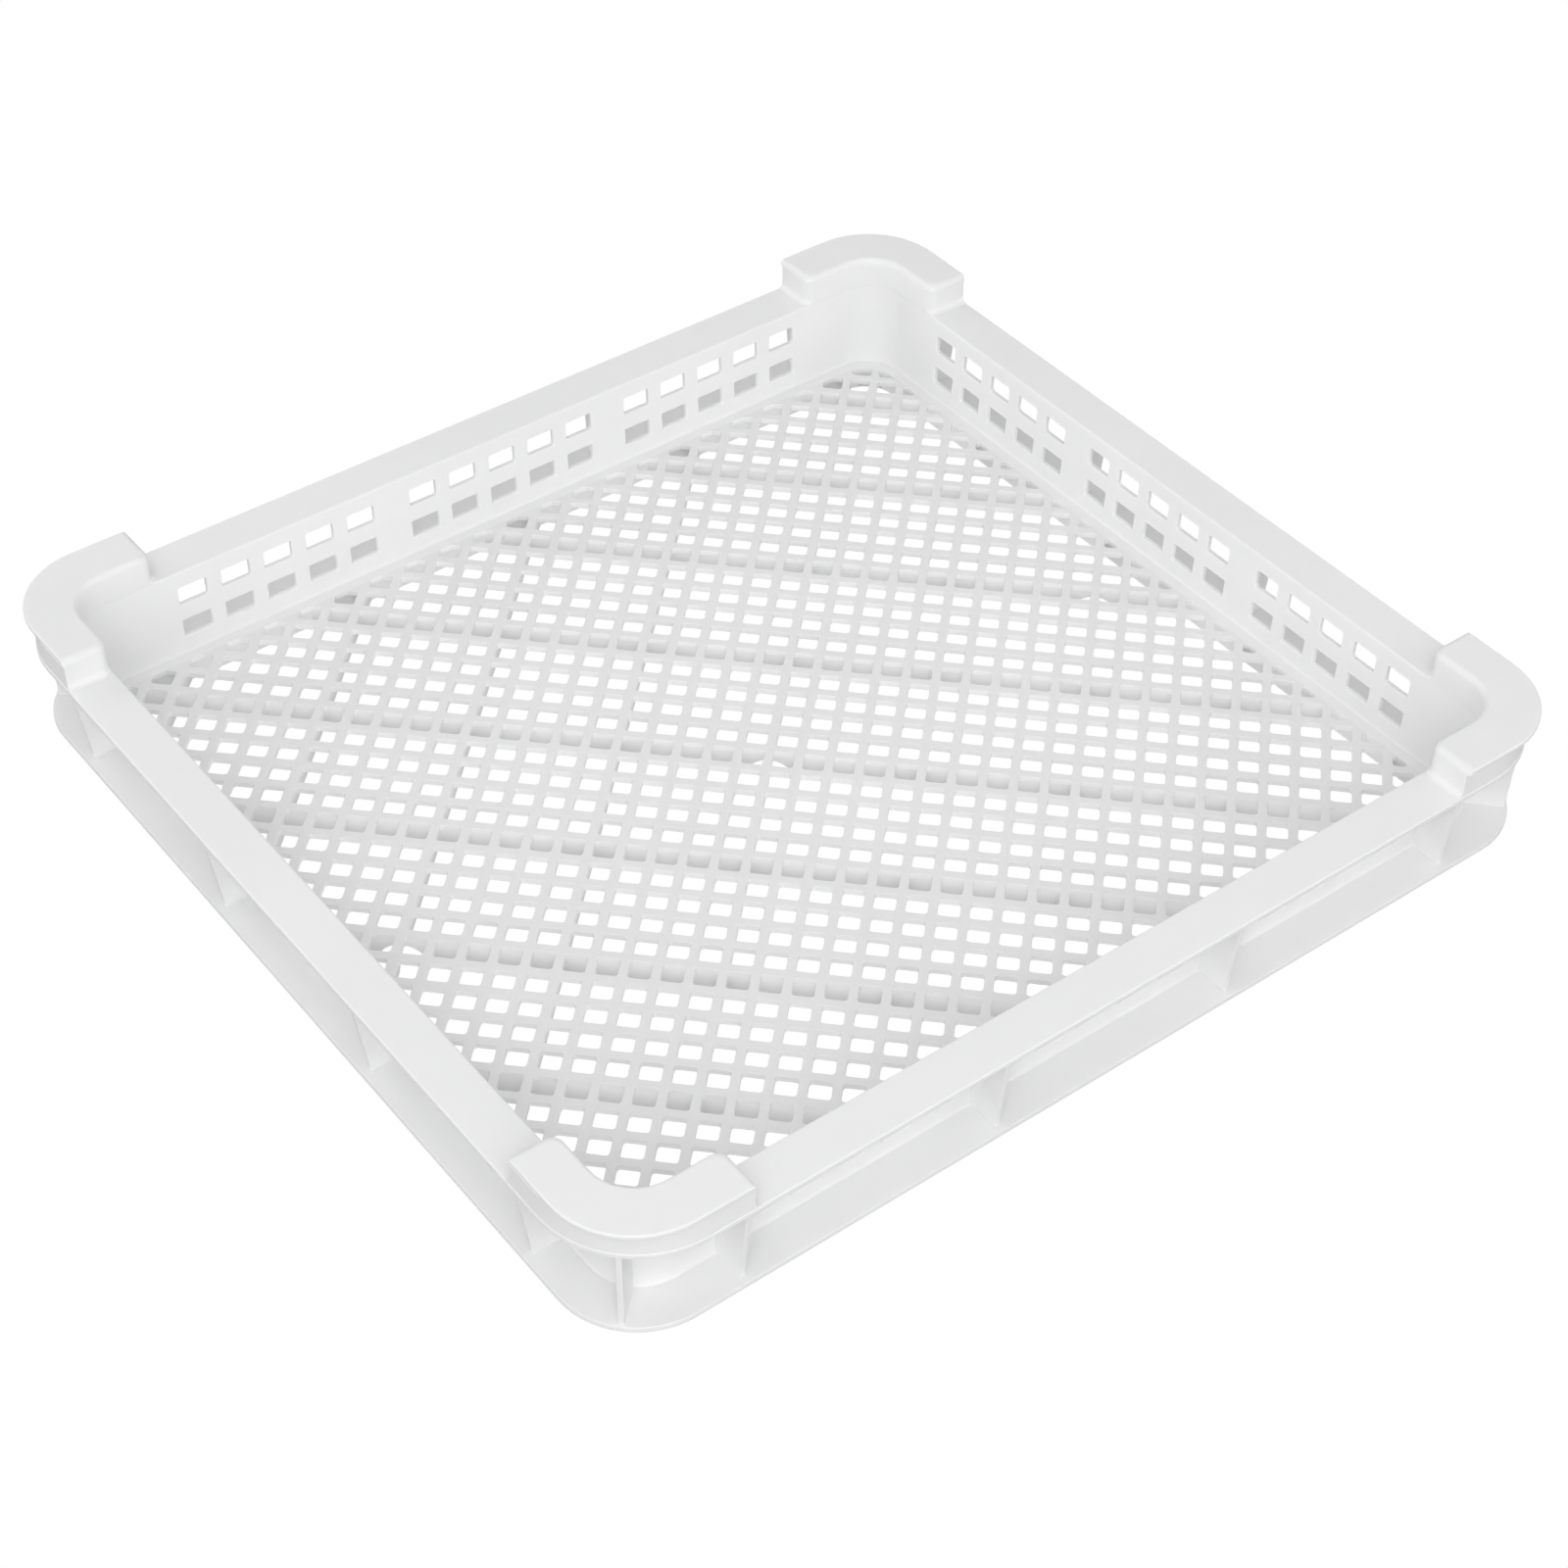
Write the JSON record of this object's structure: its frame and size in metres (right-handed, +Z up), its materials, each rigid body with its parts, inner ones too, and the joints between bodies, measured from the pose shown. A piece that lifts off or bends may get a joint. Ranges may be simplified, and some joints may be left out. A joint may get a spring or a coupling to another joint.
{
  "type": "ventilated stacking tray",
  "caption": "Shallow rectangular ventilated tray with a diagonal mesh floor, windowed side walls, a flat rim and raised corner caps for stacking.",
  "frame": {"origin": "centre of the bounding box in plan, at the height of the surface that the tray stands on", "axes": "+X along the longer side, +Y along the shorter side, +Z up out of the open top"},
  "size_m": [0.3972, 0.3756, 0.0578],
  "materials": {
    "milky_polypropylene": "satin, translucent milky white natural polypropylene with a fine moulded grain and slightly glossy edges"
  },
  "bodies": {
    "root": {"floor_mesh_plate": "milky_polypropylene", "floor_rib_a1": "milky_polypropylene", "floor_rib_a2": "milky_polypropylene", "floor_rib_a3": "milky_polypropylene", "floor_rib_a4": "milky_polypropylene", "floor_rib_a5": "milky_polypropylene", "floor_rib_a6": "milky_polypropylene", "floor_rib_a7": "milky_polypropylene", "floor_rib_a8": "milky_polypropylene", "floor_rib_a9": "milky_polypropylene", "floor_rib_b1": "milky_polypropylene", "floor_rib_b2": "milky_polypropylene", "floor_rib_b3": "milky_polypropylene", "floor_rib_b4": "milky_polypropylene", "floor_rib_b5": "milky_polypropylene", "floor_rib_b6": "milky_polypropylene", "floor_rib_b7": "milky_polypropylene", "floor_rib_b8": "milky_polypropylene", "floor_rib_b9": "milky_polypropylene", "plinth_front": "milky_polypropylene", "plinth_back": "milky_polypropylene", "plinth_left": "milky_polypropylene", "plinth_right": "milky_polypropylene", "wall_front": "milky_polypropylene", "wall_back": "milky_polypropylene", "wall_left": "milky_polypropylene", "wall_right": "milky_polypropylene", "corner_wall_front_left": "milky_polypropylene", "corner_wall_front_right": "milky_polypropylene", "corner_wall_back_left": "milky_polypropylene", "corner_wall_back_right": "milky_polypropylene", "rim_rail_front": "milky_polypropylene", "rim_rail_back": "milky_polypropylene", "rim_rail_left": "milky_polypropylene", "rim_rail_right": "milky_polypropylene", "corner_cap_front_left": "milky_polypropylene", "corner_cap_front_right": "milky_polypropylene", "corner_cap_back_left": "milky_polypropylene", "corner_cap_back_right": "milky_polypropylene", "gusset_front_1": "milky_polypropylene", "gusset_front_2": "milky_polypropylene", "gusset_front_3": "milky_polypropylene", "gusset_front_4": "milky_polypropylene", "gusset_back_1": "milky_polypropylene", "gusset_back_2": "milky_polypropylene", "gusset_back_3": "milky_polypropylene", "gusset_back_4": "milky_polypropylene", "gusset_left_1": "milky_polypropylene", "gusset_left_2": "milky_polypropylene", "gusset_left_3": "milky_polypropylene", "gusset_left_4": "milky_polypropylene", "gusset_right_1": "milky_polypropylene", "gusset_right_2": "milky_polypropylene", "gusset_right_3": "milky_polypropylene", "gusset_right_4": "milky_polypropylene", "corner_gusset_front_left": "milky_polypropylene", "corner_gusset_front_right": "milky_polypropylene", "corner_gusset_back_left": "milky_polypropylene", "corner_gusset_back_right": "milky_polypropylene"}
  },
  "joints": []
}
